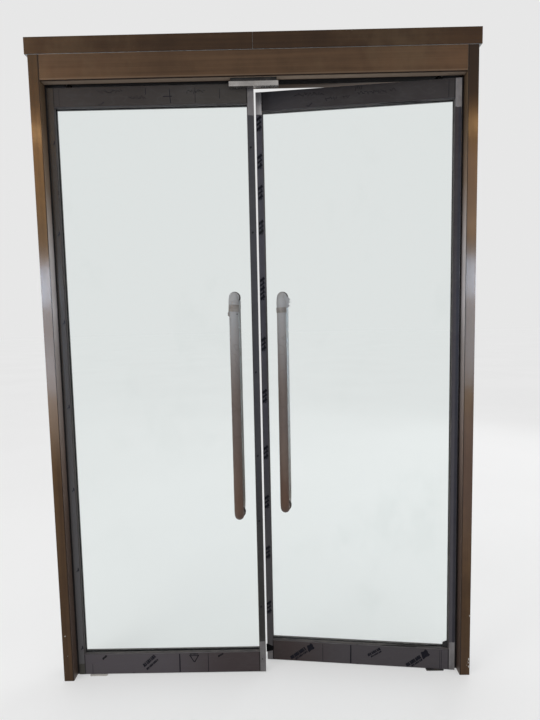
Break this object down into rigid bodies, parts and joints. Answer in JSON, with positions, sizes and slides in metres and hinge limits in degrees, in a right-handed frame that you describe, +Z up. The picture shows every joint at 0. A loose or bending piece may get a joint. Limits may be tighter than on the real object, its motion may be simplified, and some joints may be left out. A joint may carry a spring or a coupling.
{
  "type": "glass entrance door",
  "caption": "Framed glass entrance doors on floor and head pivots in a metal-clad frame, with back-to-back tube pulls; shuts a building's entrance and swings open for people.",
  "frame": {"origin": "on the finished floor, midway between the jambs, in the plane of the pivots, which is the middle of a closed leaf's thickness", "axes": "+X to the right as seen from the approach side, +Y through the doorway in the direction the leaves open, +Z up"},
  "size_m": [1.862, 0.2579, 2.784],
  "materials": {
    "bronze_casing": "hairline-brushed bronze-coloured stainless steel",
    "bronze_trim": "hairline-brushed dark bronze stainless steel",
    "galvanised_steel": "galvanised",
    "leaf_profile": "satin grey metal",
    "satin_steel": "satin stainless steel",
    "clear_glass": "clear tempered",
    "black_rubber": "matt",
    "dark_packer": "matt",
    "paper_wrap": "crumpled tan paper",
    "protective_film": "dull dark grey film",
    "closer_body": "as cast",
    "pivot_steel": "machined",
    "brush_fibre": "pile"
  },
  "bodies": {
    "frame": {"left_jamb_core": "galvanised_steel", "right_jamb_core": "galvanised_steel", "left_jamb_casing": "bronze_casing", "right_jamb_casing": "bronze_casing", "head_core": "galvanised_steel", "head_casing": "bronze_casing", "head_packer": "galvanised_steel", "left_head_trim": "bronze_trim", "right_head_trim": "bronze_trim", "left_jamb_seal": "black_rubber", "right_jamb_seal": "black_rubber", "head_seal": "black_rubber", "stop_bar": "satin_steel", "stop_packer": "dark_packer", "stop_screws": "satin_steel", "left_closer": "closer_body", "right_closer": "closer_body", "closer_screws": "satin_steel", "left_floor_pivot": "pivot_steel", "right_floor_pivot": "pivot_steel"},
    "left_leaf": {"left_hinge_stile": "leaf_profile", "left_lock_stile": "leaf_profile", "left_top_rail": "leaf_profile", "left_bottom_rail": "leaf_profile", "left_glass": "clear_glass", "left_gaskets": "black_rubber", "left_setting_blocks": "dark_packer", "left_front_pull": "satin_steel", "left_rear_pull": "satin_steel", "left_front_pull_wrap": "paper_wrap", "left_rear_pull_wrap": "paper_wrap", "left_rosettes": "satin_steel", "left_pull_studs": "satin_steel", "left_top_pivot": "pivot_steel", "left_bottom_pivot": "pivot_steel", "left_bottom_brush": "brush_fibre", "left_hinge_stile_film": "protective_film", "left_lock_stile_film": "protective_film", "left_top_rail_film": "protective_film", "left_bottom_rail_film": "protective_film"},
    "right_leaf": {"right_hinge_stile": "leaf_profile", "right_lock_stile": "leaf_profile", "right_top_rail": "leaf_profile", "right_bottom_rail": "leaf_profile", "right_glass": "clear_glass", "right_gaskets": "black_rubber", "right_setting_blocks": "dark_packer", "right_front_pull": "satin_steel", "right_rear_pull": "satin_steel", "right_front_pull_wrap": "paper_wrap", "right_rear_pull_wrap": "paper_wrap", "right_rosettes": "satin_steel", "right_pull_studs": "satin_steel", "right_top_pivot": "pivot_steel", "right_bottom_pivot": "pivot_steel", "right_bottom_brush": "brush_fibre", "right_hinge_stile_film": "protective_film", "right_lock_stile_film": "protective_film", "right_top_rail_film": "protective_film", "right_bottom_rail_film": "protective_film"}
  },
  "joints": [
    {"name": "left_leaf_swing", "type": "hinge", "parent": "frame", "child": "left_leaf", "pos_m": [-0.774, 0, 0], "axis": [0, 0, 1], "range_deg": [0, 90]},
    {"name": "right_leaf_swing", "type": "hinge", "parent": "frame", "child": "right_leaf", "pos_m": [0.774, 0, 0], "axis": [0, 0, -1], "range_deg": [-6, 84]}
  ]
}
